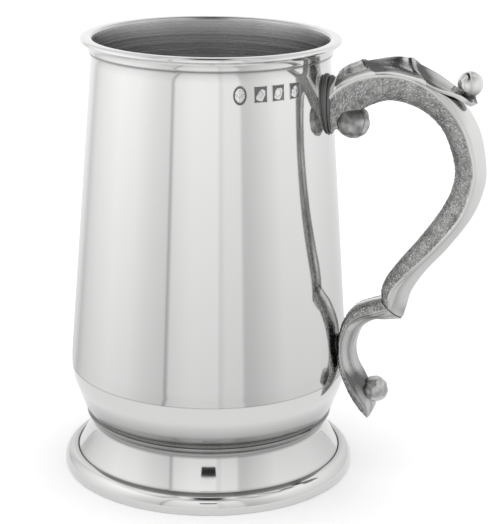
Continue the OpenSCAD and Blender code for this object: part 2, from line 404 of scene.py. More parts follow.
def mix_colors(tree, factor, a, b, target):
    """Feeds a mix of two colours, each a link or a plain colour, to a socket."""
    node = tree.nodes.new("ShaderNodeMix")
    node.data_type = "RGBA"
    factor.feed(node.inputs["Factor"])
    sockets = {socket.identifier: socket for socket in node.inputs}
    for key, value in (("A_Color", a), ("B_Color", b)):
        if isinstance(value, tuple):
            sockets[key].default_value = value
        else:
            tree.links.new(value, sockets[key])
    results = {socket.identifier: socket for socket in node.outputs}
    tree.links.new(results["Result_Color"], target)


def start_group(name, inputs, outputs):
    """A new shader group on a vector, with its other inputs' defaults."""
    group = bpy.data.node_groups.new(name, "ShaderNodeTree")
    add = group.interface.new_socket
    add(name="Vector", in_out="INPUT", socket_type="NodeSocketVector")
    for key, default in inputs.items():
        kind = "NodeSocketColor" if isinstance(default, tuple) else "NodeSocketFloat"
        add(name=key, in_out="INPUT", socket_type=kind).default_value = default
    for key in outputs:
        kind = "NodeSocketColor" if key == "Color" else "NodeSocketFloat"
        add(name=key, in_out="OUTPUT", socket_type=kind)
    given = group.nodes.new("NodeGroupInput").outputs
    figures = {key: Figure(group, given[key]) for key in inputs}
    return group, given, figures, group.nodes.new("NodeGroupOutput").inputs


# ---- Shader groups that the metals share ----

def polish_group():
    """Buffed metal: faint haze in its gloss, fine hairlines and a slow wobble."""
    group, given, figure, result = start_group(
        "buffed_surface", {"Gloss": 0.06, "Haze": 0.03, "Hairlines": 0.3},
        ("Roughness", "Height"))
    cloud = noise_figure(group, given["Vector"], 60, 4)
    slow = noise_figure(group, given["Vector"], 14, 1)
    lines = noise_figure(group, given["Vector"], 90, 2, stretch=(1, 1, 30))
    (cloud * figure["Haze"] + figure["Gloss"]).feed(result["Roughness"])
    (slow * 8.0 + lines * figure["Hairlines"]).feed(result["Height"])
    return group


def turned_group():
    """Lathe rings: an uneven row of fine grooves that runs round the axis."""
    group, given, figure, result = start_group(
        "lathe_rings", {"Rings": 4000.0}, ("Height", "Band"))
    x, y, z = split_figures(group, given["Vector"])
    place = (x * x + y * y).math("SQRT") + z
    for scale, name in ((1.0, "Height"), (0.3, "Band")):
        ring = group.nodes.new("ShaderNodeTexNoise")
        ring.noise_dimensions = "1D"
        ring.inputs["Detail"].default_value = 2
        ring.inputs["Scale"].default_value = scale
        (place * figure["Rings"]).feed(ring.inputs["W"])
        group.links.new(ring.outputs["Fac"], result[name])
    return group


def patina_shade_group():
    """Antique pewter, darkened by a mask that holds both patina in the hollows and painted shade,
    and bright where hands rub it.
    """
    group, given, figure, result = start_group(
        "patina_and_painted_shade",
        {"Patina_shade": 0.0, "High": (0.7, 0.7, 0.7, 1), "Low": (0.1, 0.1, 0.1, 1),
         "Bright gloss": 0.12, "Dull gloss": 0.42, "Blotch": 0.12, "Grain": 1.0},
        ("Color", "Roughness", "Height"))
    patina_and_shade, bright = figure["Patina_shade"], figure["Bright gloss"]
    grain = noise_figure(group, given["Vector"], 1500, 3)
    spread = noise_figure(group, given["Vector"], 180, 5) * 0.7 - 0.35
    shade_and_wear = (spread + (grain * 0.5 - 0.25)) * patina_and_shade * figure["Grain"]
    clamp = group.nodes.new("ShaderNodeClamp")
    (patina_and_shade + shade_and_wear + spread * figure["Blotch"]).feed(clamp.inputs["Value"])
    mask = Figure(group, clamp.outputs[0])
    mix_colors(group, mask, given["High"], given["Low"], result["Color"])
    (mask * (figure["Dull gloss"] - bright) + bright).feed(result["Roughness"])
    (grain * patina_and_shade).feed(result["Height"])
    return group


# ---- Metals ----

def new_metal(name):
    """The tree and Principled shader of a new metal, and the object's own coordinates."""
    material = bpy.data.materials.new(name)
    material.use_nodes = True
    tree = material.node_tree
    shader = tree.nodes["Principled BSDF"]
    shader.inputs["Metallic"].default_value = 1.0
    coords = tree.nodes.new("ShaderNodeTexCoord").outputs["Object"]
    return tree, shader, coords


def place_group(tree, group, coords, **values):
    """Places a shared group in a material and sets its named inputs."""
    node = tree.nodes.new("ShaderNodeGroup")
    node.node_tree = group
    tree.links.new(coords, node.inputs["Vector"])
    for key, value in values.items():
        node.inputs[key.replace("_", " ").capitalize()].default_value = value
    return node


def link_bump(shader, height, distance):
    """Feeds a height to the shader's normal through a Bump node."""
    node = height.tree.nodes.new("ShaderNodeBump")
    node.inputs["Strength"].default_value = 1.0
    node.inputs["Distance"].default_value = distance
    height.feed(node.inputs["Height"])
    height.tree.links.new(node.outputs["Normal"], shader.inputs["Normal"])


def read_patina_and_shade(tree, patina_shade_mix):
    """Feeds the piece's darkening attribute, which holds its patina and its painted shade, to the
    group that mixes the colours.
    """
    patina_and_shade = tree.nodes.new("ShaderNodeAttribute")
    patina_and_shade.attribute_name = "patina_and_shade"
    tree.links.new(patina_and_shade.outputs["Fac"], patina_shade_mix.inputs["Patina_shade"])


def polished_metal(finish, groups):
    """Buffed pewter of the body, lip and foot, with painted shade where its pieces darken it."""
    tree, shader, coords = new_metal("buffed_metal")
    buffed = place_group(tree, groups["buffed"], coords, gloss=0.0, haze=0.03, hairlines=0.02)
    patina_shade_mix = place_group(tree, groups["patina_shade_mix"], coords, high=(*finish.polished, 1),
                         low=(*finish.aged_and_shaded, 1), bright_gloss=finish.polish, dull_gloss=0.12,
                         blotch=0.03, grain=0.12)
    read_patina_and_shade(tree, patina_shade_mix)
    tree.links.new(patina_shade_mix.outputs["Color"], shader.inputs["Base Color"])
    rough = Figure(tree, patina_shade_mix.outputs["Roughness"]) + Figure(tree, buffed.outputs["Roughness"])
    rough.feed(shader.inputs["Roughness"])
    link_bump(shader, Figure(tree, buffed.outputs["Height"]), 0.000012)


def turned_metal(finish, groups):
    """Turned pewter of the inside and of the underside of the foot."""
    tree, shader, coords = new_metal("lathe_metal")
    rings = place_group(tree, groups["turned"], coords, rings=3500.0)
    band = Figure(tree, rings.outputs["Band"])
    dark, light = ((*(level * c for c in finish.turned), 1) for level in (0.8, 1.2))
    mix_colors(tree, band, dark, light, shader.inputs["Base Color"])
    (band * 0.2 + (finish.inside - 0.1)).feed(shader.inputs["Roughness"])
    shader.inputs["Anisotropic"].default_value = 0.9
    shader.inputs["Anisotropic Rotation"].default_value = 0.25
    tangent = tree.nodes.new("ShaderNodeTangent")
    tangent.direction_type = "RADIAL"
    tangent.axis = "Z"
    tree.links.new(tangent.outputs["Tangent"], shader.inputs["Tangent"])
    link_bump(shader, Figure(tree, rings.outputs["Height"]), 0.00003)


def aged_and_shaded_metal(name, finish, groups, high, bright_gloss, relief, patina_and_shade=None):
    """Cast pewter or solder. Without a fixed darkening it reads the piece's darkening attribute,
    which holds patina and painted shade.
    """
    tree, shader, coords = new_metal(name)
    patina_shade_mix = place_group(tree, groups["patina_shade_mix"], coords, high=(*high, 1),
                         low=(*finish.aged_and_shaded, 1), bright_gloss=bright_gloss, dull_gloss=0.4)
    if patina_and_shade is None:
        read_patina_and_shade(tree, patina_shade_mix)
    else:
        patina_shade_mix.inputs["Patina_shade"].default_value = patina_and_shade
    tree.links.new(patina_shade_mix.outputs["Color"], shader.inputs["Base Color"])
    tree.links.new(patina_shade_mix.outputs["Roughness"], shader.inputs["Roughness"])
    link_bump(shader, Figure(tree, patina_shade_mix.outputs["Height"]), relief)


# ---- Handle outline, on a grid of 100 by 100 ----

def grid_place(x0, u, v):
    """A place in millimetres from its percent of the reach beyond x0 and of the rise."""
    return Vector((x0 + (REACH - x0) * u / 100, 0, TAIL_Z + (TOP_Z - TAIL_Z) * v / 100))


# Inner edge, crease and back at each station of the upper scroll.
UPPER = [
    ((0, 79.5), (0, 89), (0, 93.5)),
    ((9, 81.5), (7, 92), (9, 96.5)),
    ((20, 86), (22, 95), (25, 98.5)),
    ((36, 89), (42, 96), (45, 99.5)),
    ((51, 88.5), (60.5, 94), (63.5, 96.2)),
    ((64, 86), (76, 89), (81, 91)),
    ((74, 81.5), (87.5, 82.5), (94.5, 83)),
    ((81, 73.5), (94, 73.5), (100, 73)),
    ((80, 67.5), (93, 67.5), (99, 66.5)),
    ((73, 61), (87, 60), (92, 59)),
    ((61, 53.5), (73, 52), (78, 50.5)),
    ((48, 46.5), (59, 45.5), (65, 44)),
    ((40, 41.5), (48, 40.5), (56, 38)),
    ((37, 38), (43, 37), (53, 33.5)),
    ((37.5, 35.5), (43, 33.5), (51, 30.5))]

# Outer edge, ridge and inner edge at each station of the lower scroll.
LOWER = [
    ((19.5, 34), (25, 31.5), (33, 29.5)),
    ((9, 32), (14.5, 30), (24, 29)),
    ((2.5, 28.5), (6.5, 27.5), (15.5, 26.5)),
    ((0, 25), (2.5, 24), (11, 23)),
    ((0, 20), (1.5, 20), (9.5, 19.5)),
    ((0, 15), (3, 16), (11.5, 16)),
    ((2.5, 11), (6.5, 12.5), (16.5, 13)),
    ((8, 6.5), (14, 7), (25, 7.5)),
    ((14.5, 2.5), (19.5, 3.5), (27, 4.5)),
    ((20.5, 0), (21.5, 0.3), (22.5, 0.6))]


def upper_widths(sizes):
    """Width of the upper scroll at each station."""
    full, root = sizes.handle_w / MM, sizes.root_w / MM
    less = (0.5, 0, 0, 0, 0, 0, 0, 0.3, 0.6, 0.8, 1, 1)
    return [root, root + 0.4, root + 1] + [full - cut for cut in less]


def lower_widths(sizes):
    """Width of the lower scroll at each station."""
    full, low = sizes.handle_w / MM, sizes.low_w / MM
    less = (0.5, 0, 0, 0.5, 2, 4, 7, 10)
    return [full - 1, full - 0.5] + [low - cut for cut in less]


def placed_sections(stations, widths, x0):
    """Inner edge, crease, back and width of each station, in millimetres."""
    return [(*(grid_place(x0, *corner) for corner in station), width)
            for station, width in zip(stations, widths)]


def section_at(sections, x):
    """The inner edge, crease, back and width of a scroll at a place along it."""
    return tuple(through([s[k] for s in sections], x) for k in range(4))


def upper_sections(sizes):
    """Sections of the upper scroll, from its root to the seam."""
    return placed_sections(UPPER, upper_widths(sizes), ROOT_X)


SEAM_T = 0.4            # thickness of the solder between the two scrolls
EDGE_SHARE = 0.12       # share of a half section on its narrow edge
FACET_SHARE = 0.64      # share of a half section up to the crease


def seam_step(section):
    """How far the seam's solder sets the lower scroll off the upper one."""
    across = section[2] - section[0]
    return Vector((across.z, 0, -across.x)).normalized() * SEAM_T


def lower_sections(sizes):
    """Sections of the lower scroll, from the seam to its tail."""
    last = upper_sections(sizes)[-1]
    step = seam_step(last)
    first = (last[0] + step, last[1] + step, last[2] + step, last[3])
    return [first] + placed_sections(LOWER, lower_widths(sizes), LOW_X)


def facet_half(s, edge, crease, width):
    """Point and half width on the flat edge or the stippled facet of a half section."""
    if s < EDGE_SHARE:
        return edge.copy(), 0.26 * width * s / EDGE_SHARE
    f = (s - EDGE_SHARE) / (FACET_SHARE - EDGE_SHARE)
    return edge.lerp(crease, f), width * (0.26 + 0.24 * (1 - (1 - f) ** 3.4))


def upper_half(s, edge, crease, back, width):
    """Half section of the upper scroll: edge, stippled facet, then a polished round back."""
    if s <= FACET_SHARE:
        return facet_half(s, edge, crease, width)
    angle = (s - FACET_SHARE) / (1 - FACET_SHARE) * math.pi / 2
    return crease.lerp(back, math.sin(angle)), 0.5 * width * math.cos(angle)


def lower_half(s, edge, crease, back, width):
    """Half section of the lower scroll: edge, stippled facet, then a polished scoop."""
    if s <= FACET_SHARE:
        return facet_half(s, edge, crease, width)
    g = (s - FACET_SHARE) / (1 - FACET_SHARE)
    rim = smooth(0.88, 1.0, g)
    half = 0.5 - 0.30 * g - 0.07 * math.sin(math.pi * min(g / 0.9, 1)) - 0.2 * rim
    return crease.lerp(back, min(g / 0.9, 1)), max(half, 0) * width


def section_point(half, turn, section):
    """A point of a whole section, and its place on the half section, from its turn."""
    s = 2 * min(turn, 1 - turn)
    point, wide = half(s, *section)
    point.y = -wide if turn < 0.5 else wide
    return point, s


def upper_shade(s, x):
    """Painted shade on the upper scroll's polished back: the dent over the seam."""
    dent_x = 13.4
    return 0.5 * bump(x, dent_x, 0.5) * bump(s, 1.0, 0.2)


def lower_shade(s, x):
    """Painted shade in the lower scroll's polished scoop: along its rim, at its top and round the
    ball.
    """
    in_scoop = smooth(FACET_SHARE - 0.01, FACET_SHARE + 0.02, s)
    ball_x, top_x = 7.3, 1.6
    rim = 0.5 * bump(s, FACET_SHARE + 0.03, 0.03) + 0.3 * bump(s, 0.86, 0.05)
    return in_scoop * (0.2 + rim + 0.8 * bump(x, ball_x, 0.6) + 0.35 * bump(x, top_x, 0.8))


def cast_scroll(sections, half, shade, along, around, sizes):
    """A bmesh of a scroll, with its stipple punched into the facet."""
    bm = tube_grid(along, around)
    patina_and_shade = bm.verts.layers.float.new("patina_and_shade")
    shade_and_wear = bm.verts.layers.float.new("shade_and_wear")
    last = len(sections) - 1
    for v in bm.verts:
        x = v.co.x * last
        point, s = section_point(half, v.co.y, section_at(sections, x))
        line = bump(s, FACET_SHARE, 0.02)
        point.y *= 1 + 0.05 * line
        in_facet = smooth(0.02, 0.1, s) * (1 - smooth(FACET_SHARE - 0.05, FACET_SHARE - 0.012, s))
        v[patina_and_shade] = in_facet
        v[shade_and_wear] = shade(s, x)
        v.co = point * MM
    close_tube(bm)
    bm.normal_update()
    step = sizes.stipple_step
    for v in bm.verts:
        # Off the stippled facet the darkening is the painted shade of the scroll's back and scoop.
        if v[patina_and_shade] <= 0:
            v[patina_and_shade] = v[shade_and_wear]
            continue
        near = noise.voronoi(v.co / step)[0]
        dot = smooth(0.05, 0.55, near[1] - near[0])
        drift = noise.noise(v.co / (3 * step))
        v.co += v.normal * sizes.stipple * v[patina_and_shade] * (0.5 * dot - 0.4 + 0.15 * drift)
        v[patina_and_shade] *= min(max(0.84 - 0.6 * dot - 0.15 * drift, 0.06), 1)
    return bm


def ball_profile(radius):
    """Half outline of a ball."""
    points = arc((0, 0), radius, -math.pi / 2, math.pi / 2, 40)
    return [(0, -radius)] + points[1:-1] + [(0, radius)]


def uneven(bm, centre, radius, depth):
    """Hammers shallow flats into a ball, as a hand-finished casting has."""
    for v in bm.verts:
        out = v.co / MM - centre
        v.co -= out.normalized() * MM * depth * (0.5 + noise.noise(out / radius * 2.2))


def node_ball(node):
    """Centre and radius of a ball node, in millimetres."""
    low, high = node_box(node)
    return (low + high) / 2, (high.y - low.y) / 2


# ---- Operators: metals ----

class TANKARD_OT_metals(bpy.types.Operator):
    """Mix the pewters and the solder"""
    bl_idname = "tankard.metals"
    bl_label = "Metals"

    def execute(self, context):
        finish = context.scene.tankard_finish
        groups = {"buffed": polish_group(), "turned": turned_group(), "patina_shade_mix": patina_shade_group()}
        polished_metal(finish, groups)
        turned_metal(finish, groups)
        aged_and_shaded_metal("patinated_and_shaded_metal", finish, groups, finish.cast, 0.09, 0.0001)
        aged_and_shaded_metal("seam_metal", finish, groups, finish.solder, 0.2, 0.0002, patina_and_shade=0.5)
        return {"FINISHED"}


# ---- Operators: spun pieces ----

class TANKARD_OT_body(bpy.types.Operator):
    """Spin the body's wall, polished outside and turned inside"""
    bl_idname = "tankard.body"
    bl_label = "Body wall"

    def execute(self, context):
        sizes = context.scene.tankard_sizes
        outside = body_profile(sizes)
        wall = sizes.wall / MM
        gentle = inside_top(sizes)
        inside = [(r - wall, z) for r, z in outside if z < gentle[0][1] - 1] + gentle
        bm = spun(outside + inside[::-1], steps=256)
        turn_inside(bm, 0)
        soften(bm, sizes.edge_soften, crisp=gentle[-1])
        # Painted shade on the outside of the wall: dark under the belly down to the seat, and a
        # dark line in the crease under the lip.
        inner_r = throat(sizes)[0] - 0.6
        shade_hollows(bm, lambda p: 0 if p.xy.length < inner_r else
                      0.42 * (1 - smooth(*TUCK_LINE, p.z)) + 0.4 * (1 - smooth(*TUCK, p.z))
                      + 0.5 * bump(p.z, LIP_Z, 0.35))
        finish_piece(bm, "body_wall", ["body_shell"], "polished_pewter",
                     "buffed_metal", "lathe_metal")
        return {"FINISHED"}


class TANKARD_OT_lip(bpy.types.Operator):
    """Spin the lip ring with the fine line under it"""
    bl_idname = "tankard.lip"
    bl_label = "Lip"

    def execute(self, context):
        sizes = context.scene.tankard_sizes
        base = throat(sizes)[0] + LIP_STEP
        edge = 1.3
        under = curve3((base + 0.18, LIP_Z + 0.5), (base + 0.5, HEIGHT - edge - 0.2),
                       (RIM_R - 0.35, HEIGHT - edge - 0.2), 14)
        outer = curve3((RIM_R, HEIGHT - edge), (RIM_R + 0.05, HEIGHT - 0.3),
                       (RIM_R - 0.5, HEIGHT - 0.12), 8)
        mouth = inside_top(sizes)[-1][0]
        top = curve3((RIM_R - 1.9, HEIGHT), (mouth + 0.25, HEIGHT),
                     (mouth + 0.12, HEIGHT - 1.2), 10)
        line = curve3((base, LIP_Z), (base - 0.25, LIP_Z + 0.25), (base + 0.12, LIP_Z + 0.42), 4)
        bm = spun(line + under + outer + top + [(mouth, LIP_Z)], steps=256)
        turn_inside(bm, 0.5)
        soften(bm, sizes.edge_soften, crisp=(mouth, LIP_Z))
        # Painted shade: a dark line in the groove under the lip, on the outside only.
        shade_hollows(bm, lambda p: 0.75 * bump(p.z, LIP_Z + 0.2, 0.3)
                      * float(p.xy.length > base - 0.6))
        finish_piece(bm, "lip", ["lip_ring"], "polished_pewter",
                     "buffed_metal", "lathe_metal")
        return {"FINISHED"}


class TANKARD_OT_cup_floor(bpy.types.Operator):
    """Spin the disc that closes the cup"""
    bl_idname = "tankard.cup_floor"
    bl_label = "Cup floor"

    def execute(self, context):
        sizes = context.scene.tankard_sizes
        top, low = FLOOR_HIGH.z, FLOOR_LOW.z
        edge = FLOOR_HIGH.x
        upper = curve3((0, top - 0.25), (edge * 0.55, top - 0.3), (edge * 0.82, top - 0.12), 10)
        step = [(edge * 0.84, top - 0.12), (edge * 0.85, top), (edge, top)]
        bm = spun(upper + step + [(edge - 0.5, low), (0, low)], closed=False)
        soften(bm, sizes.edge_soften)
        finish_piece(bm, "cup_base", ["cup_floor"], "turned_pewter", "lathe_metal")
        return {"FINISHED"}


class TANKARD_OT_foot(bpy.types.Operator):
    """Spin the seat ring, the trumpet foot and its heavy rim"""
    bl_idname = "tankard.foot"
    bl_label = "Foot"

    def execute(self, context):
        sizes = context.scene.tankard_sizes
        seat_r = body_profile(sizes)[0][0]
        inside_r = seat_r - 4
        ring = curve3((seat_r - 0.1, RING_Z), (seat_r + 0.6, (RING_Z + SEAT_Z) / 2),
                      (seat_r, SEAT_Z), 10)
        bm = spun([(inside_r, SEAT_Z), (inside_r, RING_Z)] + ring)
        soften(bm, sizes.edge_soften)
        # Painted shade: the whole seat ring is darkened, as it sits in the shade under the belly.
        shade_hollows(bm, lambda p: 0.75)
        finish_piece(bm, "seat_line", ["seat_ring"], "polished_pewter",
                     "buffed_metal")

        bead = sizes.bead_r / MM
        bead_z = GROOVE_Z - bead
        bead_c = FOOT_R - bead
        edge_r = bead_c - 0.15
        waist_r = seat_r - sizes.waist_in / MM
        waist_z = sizes.waist_z / MM
        neck = curve3((seat_r - 0.3, RING_Z), (waist_r - 0.1, RING_Z - 0.5),
                      (waist_r, waist_z), 10)
        trumpet = curve3((waist_r + 0.1, waist_z - 0.6),
                         (waist_r + 1.3, (waist_z + GROOVE_Z) / 2), (edge_r, GROOVE_Z), 24)
        ledge_z = GROOVE_Z - 1.2
        wall = sizes.wall / MM
        inner = [(r - wall, z) for r, z in reversed(trumpet)]
        bm = spun([(inside_r, RING_Z)] + neck + trumpet
                  + [(edge_r, ledge_z), (edge_r - wall, ledge_z)] + inner
                  + [(inside_r, waist_z + 0.4)], steps=224)
        soften(bm, sizes.edge_soften)
        # Painted shade: dark on the neck above the waist, a darker line at the waist, and a dark
        # line in the groove over the bead.
        shade_hollows(bm, lambda p: 0.65 * smooth(waist_z - 0.2, waist_z + 0.3, p.z)
                      + 0.35 * bump(p.z, waist_z + 0.1, 0.25)
                      + 0.9 * bump(p.z, GROOVE_Z - 0.4, 0.6))
        finish_piece(bm, "foot_trumpet", ["foot_dome"], "polished_pewter",
                     "buffed_metal")

        low = math.asin(bead_z / bead)
        round_out = arc((bead_c, bead_z), bead, -low, math.pi / 2, 36)
        hole_r = edge_r - 2.3
        bm = spun([(hole_r, ledge_z), (hole_r, 0)] + round_out + [(bead_c, ledge_z)], steps=224)
        soften(bm, sizes.edge_soften)
        # Painted shade: a dark line round the top of the bead by the groove, and a fainter band
        # just outside it.
        shade_hollows(bm, lambda p: 0.9 * bump(p.xy.length, bead_c - 0.1, 0.35)
                      + 0.25 * bump(p.xy.length, bead_c + 0.7, 0.7))
        finish_piece(bm, "foot_bead", ["foot_rim"], "polished_pewter",
                     "buffed_metal")
        return {"FINISHED"}


# ---- Operators: castings ----

class TANKARD_OT_upper_scroll(bpy.types.Operator):
    """Cast the upper scroll with its stippled sides and polished back"""
    bl_idname = "tankard.upper_scroll"
    bl_label = "Upper scroll"

    def execute(self, context):
        sizes = context.scene.tankard_sizes
        bm = cast_scroll(upper_sections(sizes), upper_half, upper_shade, 440, 112, sizes)
        finish_piece(bm, "upper_casting", ["upper_scroll"], "cast_pewter",
                     "patinated_and_shaded_metal", sharp=60)
        return {"FINISHED"}


class TANKARD_OT_lower_scroll(bpy.types.Operator):
    """Cast the lower scroll with its scooped face and pointed tail"""
    bl_idname = "tankard.lower_scroll"
    bl_label = "Lower scroll"

    def execute(self, context):
        sizes = context.scene.tankard_sizes
        bm = cast_scroll(lower_sections(sizes), lower_half, lower_shade, 240, 112, sizes)
        wall = LOW_X * MM
        for v in bm.verts:
            v.co.x = max(v.co.x, wall)
        finish_piece(bm, "lower_casting", ["lower_scroll"], "cast_pewter",
                     "patinated_and_shaded_metal", sharp=60)
        return {"FINISHED"}


class TANKARD_OT_balls(bpy.types.Operator):
    """Turn the balls in the root curl, on the lower scroll and on the thumb leaf"""
    bl_idname = "tankard.balls"
    bl_label = "Balls"

    def execute(self, context):
        for node, name, grow, base, dark in (
                ("root_volute", "root_ball", 1.1, 0.62, Vector((-0.1, 0, 1))),
                ("lower_ball", "tail_ball", 1.0, 0.36, Vector((-1, 0, 0.1)))):
            centre, radius = node_ball(node)
            radius *= grow
            bm = spun(ball_profile(radius), closed=False, steps=72, axis="Y", centre=centre)
            uneven(bm, centre, radius, 0.35)
            # Painted shade on the side of each ball that dark points to, over an even darkening of
            # the whole ball and a mottled patina.
            shade_hollows(bm, lambda p: base + 0.5 * noise.noise(p / 2.0)
                          + 0.55 * smooth(-0.1, 0.7, (p - centre).dot(dark) / radius))
            finish_piece(bm, name, [node], "cast_pewter", "patinated_and_shaded_metal")

        centre, radius = node_ball("thumb_ball")
        low, high = node_box("thumb_ball")
        ball_z = high.z - radius
        neck = [(0, low.z), (1.7, low.z), (2.1, low.z + 0.25), (1.7, low.z + 0.55)]
        start = math.asin(-0.86)        # the angle at which the ball meets its neck
        ball = []
        for r, z in arc((0, 0), radius, start, math.pi / 2, 36)[:-1]:
            line = 1 - 0.01 * bump(math.degrees(math.atan2(z, r)), -35, 4)
            ball.append((r * line, ball_z + z * line))
        bm = spun(neck + ball + [(0, high.z)], closed=False, steps=72, centre=(centre.x, 0, 0))
        # Painted shade on the lower part of the ball, down by its neck.
        shade_hollows(bm, lambda p: 0.8 * (1 - smooth(low.z + 0.6, low.z + 4.2, p.z)))
        finish_piece(bm, "leaf_ball", ["thumb_ball"], "polished_pewter", "patinated_and_shaded_metal")
        return {"FINISHED"}


LEAF_FROM, LEAF_TO = 0.5, 5.56      # stations of the upper scroll that the leaf covers
LEAF_LIFTS = (4.1, 5.3)             # stations over which its tip comes off the scroll
TIP_FROM = 5.2                      # station where its tip begins to close
LOBES = 3
GROOVE_T, RIM_T = 0.42, 0.94        # where its long grooves and its raised rim run across it


def leaf_point(e, t, sections, top, thickness):
    """A point of the leaf's top or underside, 0 to 1 along it and -1 to 1 across it."""
    x = LEAF_FROM + (LEAF_TO - LEAF_FROM) * e
    edge, crease, back, width = section_at(sections, x)
    free = smooth(*LEAF_LIFTS, x)
    rise = 0.5 + 0.5 * smooth(3.2, 4.2, x) + 2.6 * smooth(4.4, 5.9, x) ** 1.3
    phase = e * LOBES - 0.42 * abs(t) ** 1.4 + 0.3
    lobe = phase - math.floor(phase)
    saw = (0.7 * lobe ** 1.5 + 0.3 * bump(lobe, 0.92, 0.05)) * (1 - 0.55 * t * t)
    vein = 0.3 * bump(t, 0.0, 0.1) - 0.55 * bump(abs(t), GROOVE_T, 0.22)
    rim = 0.3 * bump(abs(t), RIM_T, 0.035)
    half_w = 0.5 * width + 0.12 + 0.3 * math.sin(math.pi * min(lobe, 1)) ** 0.7
    tip = max(0, 1 - (max(x - TIP_FROM, 0) / (LEAF_TO - TIP_FROM)) ** 2)
    half_w = half_w * (1 - free) + free * (0.9 + 3.1 * math.sqrt(tip))
    drop_line = back - crease
    drop = drop_line.length * (1 - free) + 0.2 * free
    out = drop_line.normalized()
    angle = t * math.pi / 2 * (1 - 0.12 * free)
    lift = Vector((0.3, 0, 0.95)) * rise
    point = back + lift - out * drop * (1 - math.cos(angle))
    if top:
        point += out * (saw * (1 - 0.75 * free) + vein + rim * (1 + free))
    else:
        point -= out * (0.4 + (thickness - 0.4) * free)
    point.y = half_w * math.sin(angle) * (1 if top else 0.96)
    return point, lobe


class TANKARD_OT_leaf(bpy.types.Operator):
    """Cast the thumb leaf: three overlapping lobes, the last of which lifts off"""
    bl_idname = "tankard.leaf"
    bl_label = "Thumb leaf"

    def execute(self, context):
        sizes = context.scene.tankard_sizes
        sections = upper_sections(sizes)
        bm = tube_grid(300, 72)
        patina_and_shade = bm.verts.layers.float.new("patina_and_shade")
        lifted = bmesh.ops.extrude_face_region(bm, geom=bm.faces)["geom"]
        top = set(verts_in(lifted))
        for v in bm.verts:
            e, t = v.co.x, 2 * v.co.y - 1
            point, lobe = leaf_point(e, t, sections, v in top, sizes.leaf_t / MM)
            # Darker in the folds between lobes, along the grooves and in a band near each edge;
            # lighter on the raised rim and on the lifted tip.
            dark = (0.9 * bump(lobe, 0.1, 0.22) + 0.5 * bump(abs(t), GROOVE_T, 0.2)
                    + 0.6 * bump(abs(t), 0.78, 0.12))
            x = LEAF_FROM + (LEAF_TO - LEAF_FROM) * e
            v[patina_and_shade] = dark * (1 - bump(abs(t), RIM_T, 0.05)) * (1 - 0.6 * smooth(4.4, 5.2, x))
            v.co = point * MM
        bmesh.ops.recalc_face_normals(bm, faces=bm.faces)
        finish_piece(bm, "thumb_leaf_lobes", ["thumb_leaf"], "polished_pewter",
                     "patinated_and_shaded_metal", sharp=60)
        return {"FINISHED"}


# ---- Operators: solder and marks ----

class TANKARD_OT_solder(bpy.types.Operator):
    """Run the solder into the three seams of the handle"""
    bl_idname = "tankard.solder"
    bl_label = "Solder"

    def execute(self, context):
        sizes = context.scene.tankard_sizes
        sections = upper_sections(sizes)
        edge, _, back, width = sections[0]
        middle = Vector((ROOT_X, 0, (edge.z + back.z) / 2))
        bm = tube_grid(48, 96)
        for v in bm.verts:
            across, angle = v.co.x, TAU * v.co.y
            point = section_point(upper_half, v.co.y, sections[0])[0]
            oval = middle + Vector((0, -0.52 * width * math.sin(angle),
                                    -0.54 * (back.z - edge.z) * math.cos(angle)))
            point = point.lerp(oval, 0.95 - 0.25 * across)
            flare = 0.99 + 0.07 * abs(math.sin(TAU * across)) ** 0.7 + 0.06 * (1 - across) ** 2
            place = middle + (point - middle) * flare
            wall_x = math.sqrt(wall_radius(sizes, place.z) ** 2 - place.y ** 2) - 0.25
            place.x = wall_x + (ROOT_X + 0.3 - wall_x) * across
            v.co = place * MM
        close_tube(bm)
        finish_piece(bm, "root_fillet", ["root_solder"], "solder", "seam_metal")

        last = sections[-1]
        gap = seam_step(last)
        middle = (last[0] + last[2]) / 2
        bm = tube_grid(10, 96)
        for v in bm.verts:
            t = v.co.x
            point = section_point(upper_half, v.co.y, last)[0]
            waist = 1 - 0.03 * math.sin(math.pi * t)
            v.co = (middle + (point - middle) * waist + gap * (1.3 * t - 0.15)) * MM
        close_tube(bm)
        finish_piece(bm, "scroll_joint", ["scroll_seam"], "solder", "seam_metal")

        low, high = node_box("lower_solder")
        middle_z, half_z = (low.z + high.z) / 2, (high.z - low.z) / 2
        profile = [(0, 0)] + [(1 - 0.25 * math.sin(math.pi * i / 12), i / 12)
                              for i in range(13)] + [(0, 1)]
        bm = spun(profile, closed=False, steps=64)
        for v in bm.verts:
            p = v.co / MM
            y = p.y * 0.25 * sizes.low_w / MM
            z = middle_z + p.x * half_z
            wall_x = math.sqrt(wall_radius(sizes, z) ** 2 - y ** 2) - 0.2
            v.co = Vector((wall_x + (LOW_X + 0.3 - wall_x) * p.z, y, z)) * MM
        bmesh.ops.recalc_face_normals(bm, faces=bm.faces)
        finish_piece(bm, "belly_solder", ["lower_solder"], "solder", "seam_metal")
        return {"FINISHED"}


# Each mark's name, its turn from the front in degrees, and its width and height.
MARKS = (("sprig", -57, 4.4, 6.0), ("lozenge", -47.2, 4.4, 5.0),
         ("ring", -38.2, 4.4, 5.0), ("quatrefoil", -28.6, 4.4, 5.0))
# Count, sides and size of a mark's beads, and how far they lie from its middle.
BEADS = {"ring": (10, 10, 0.36, 1.05, 1.2), "quatrefoil": (4, 16, 0.62, 0.75, 0.85)}


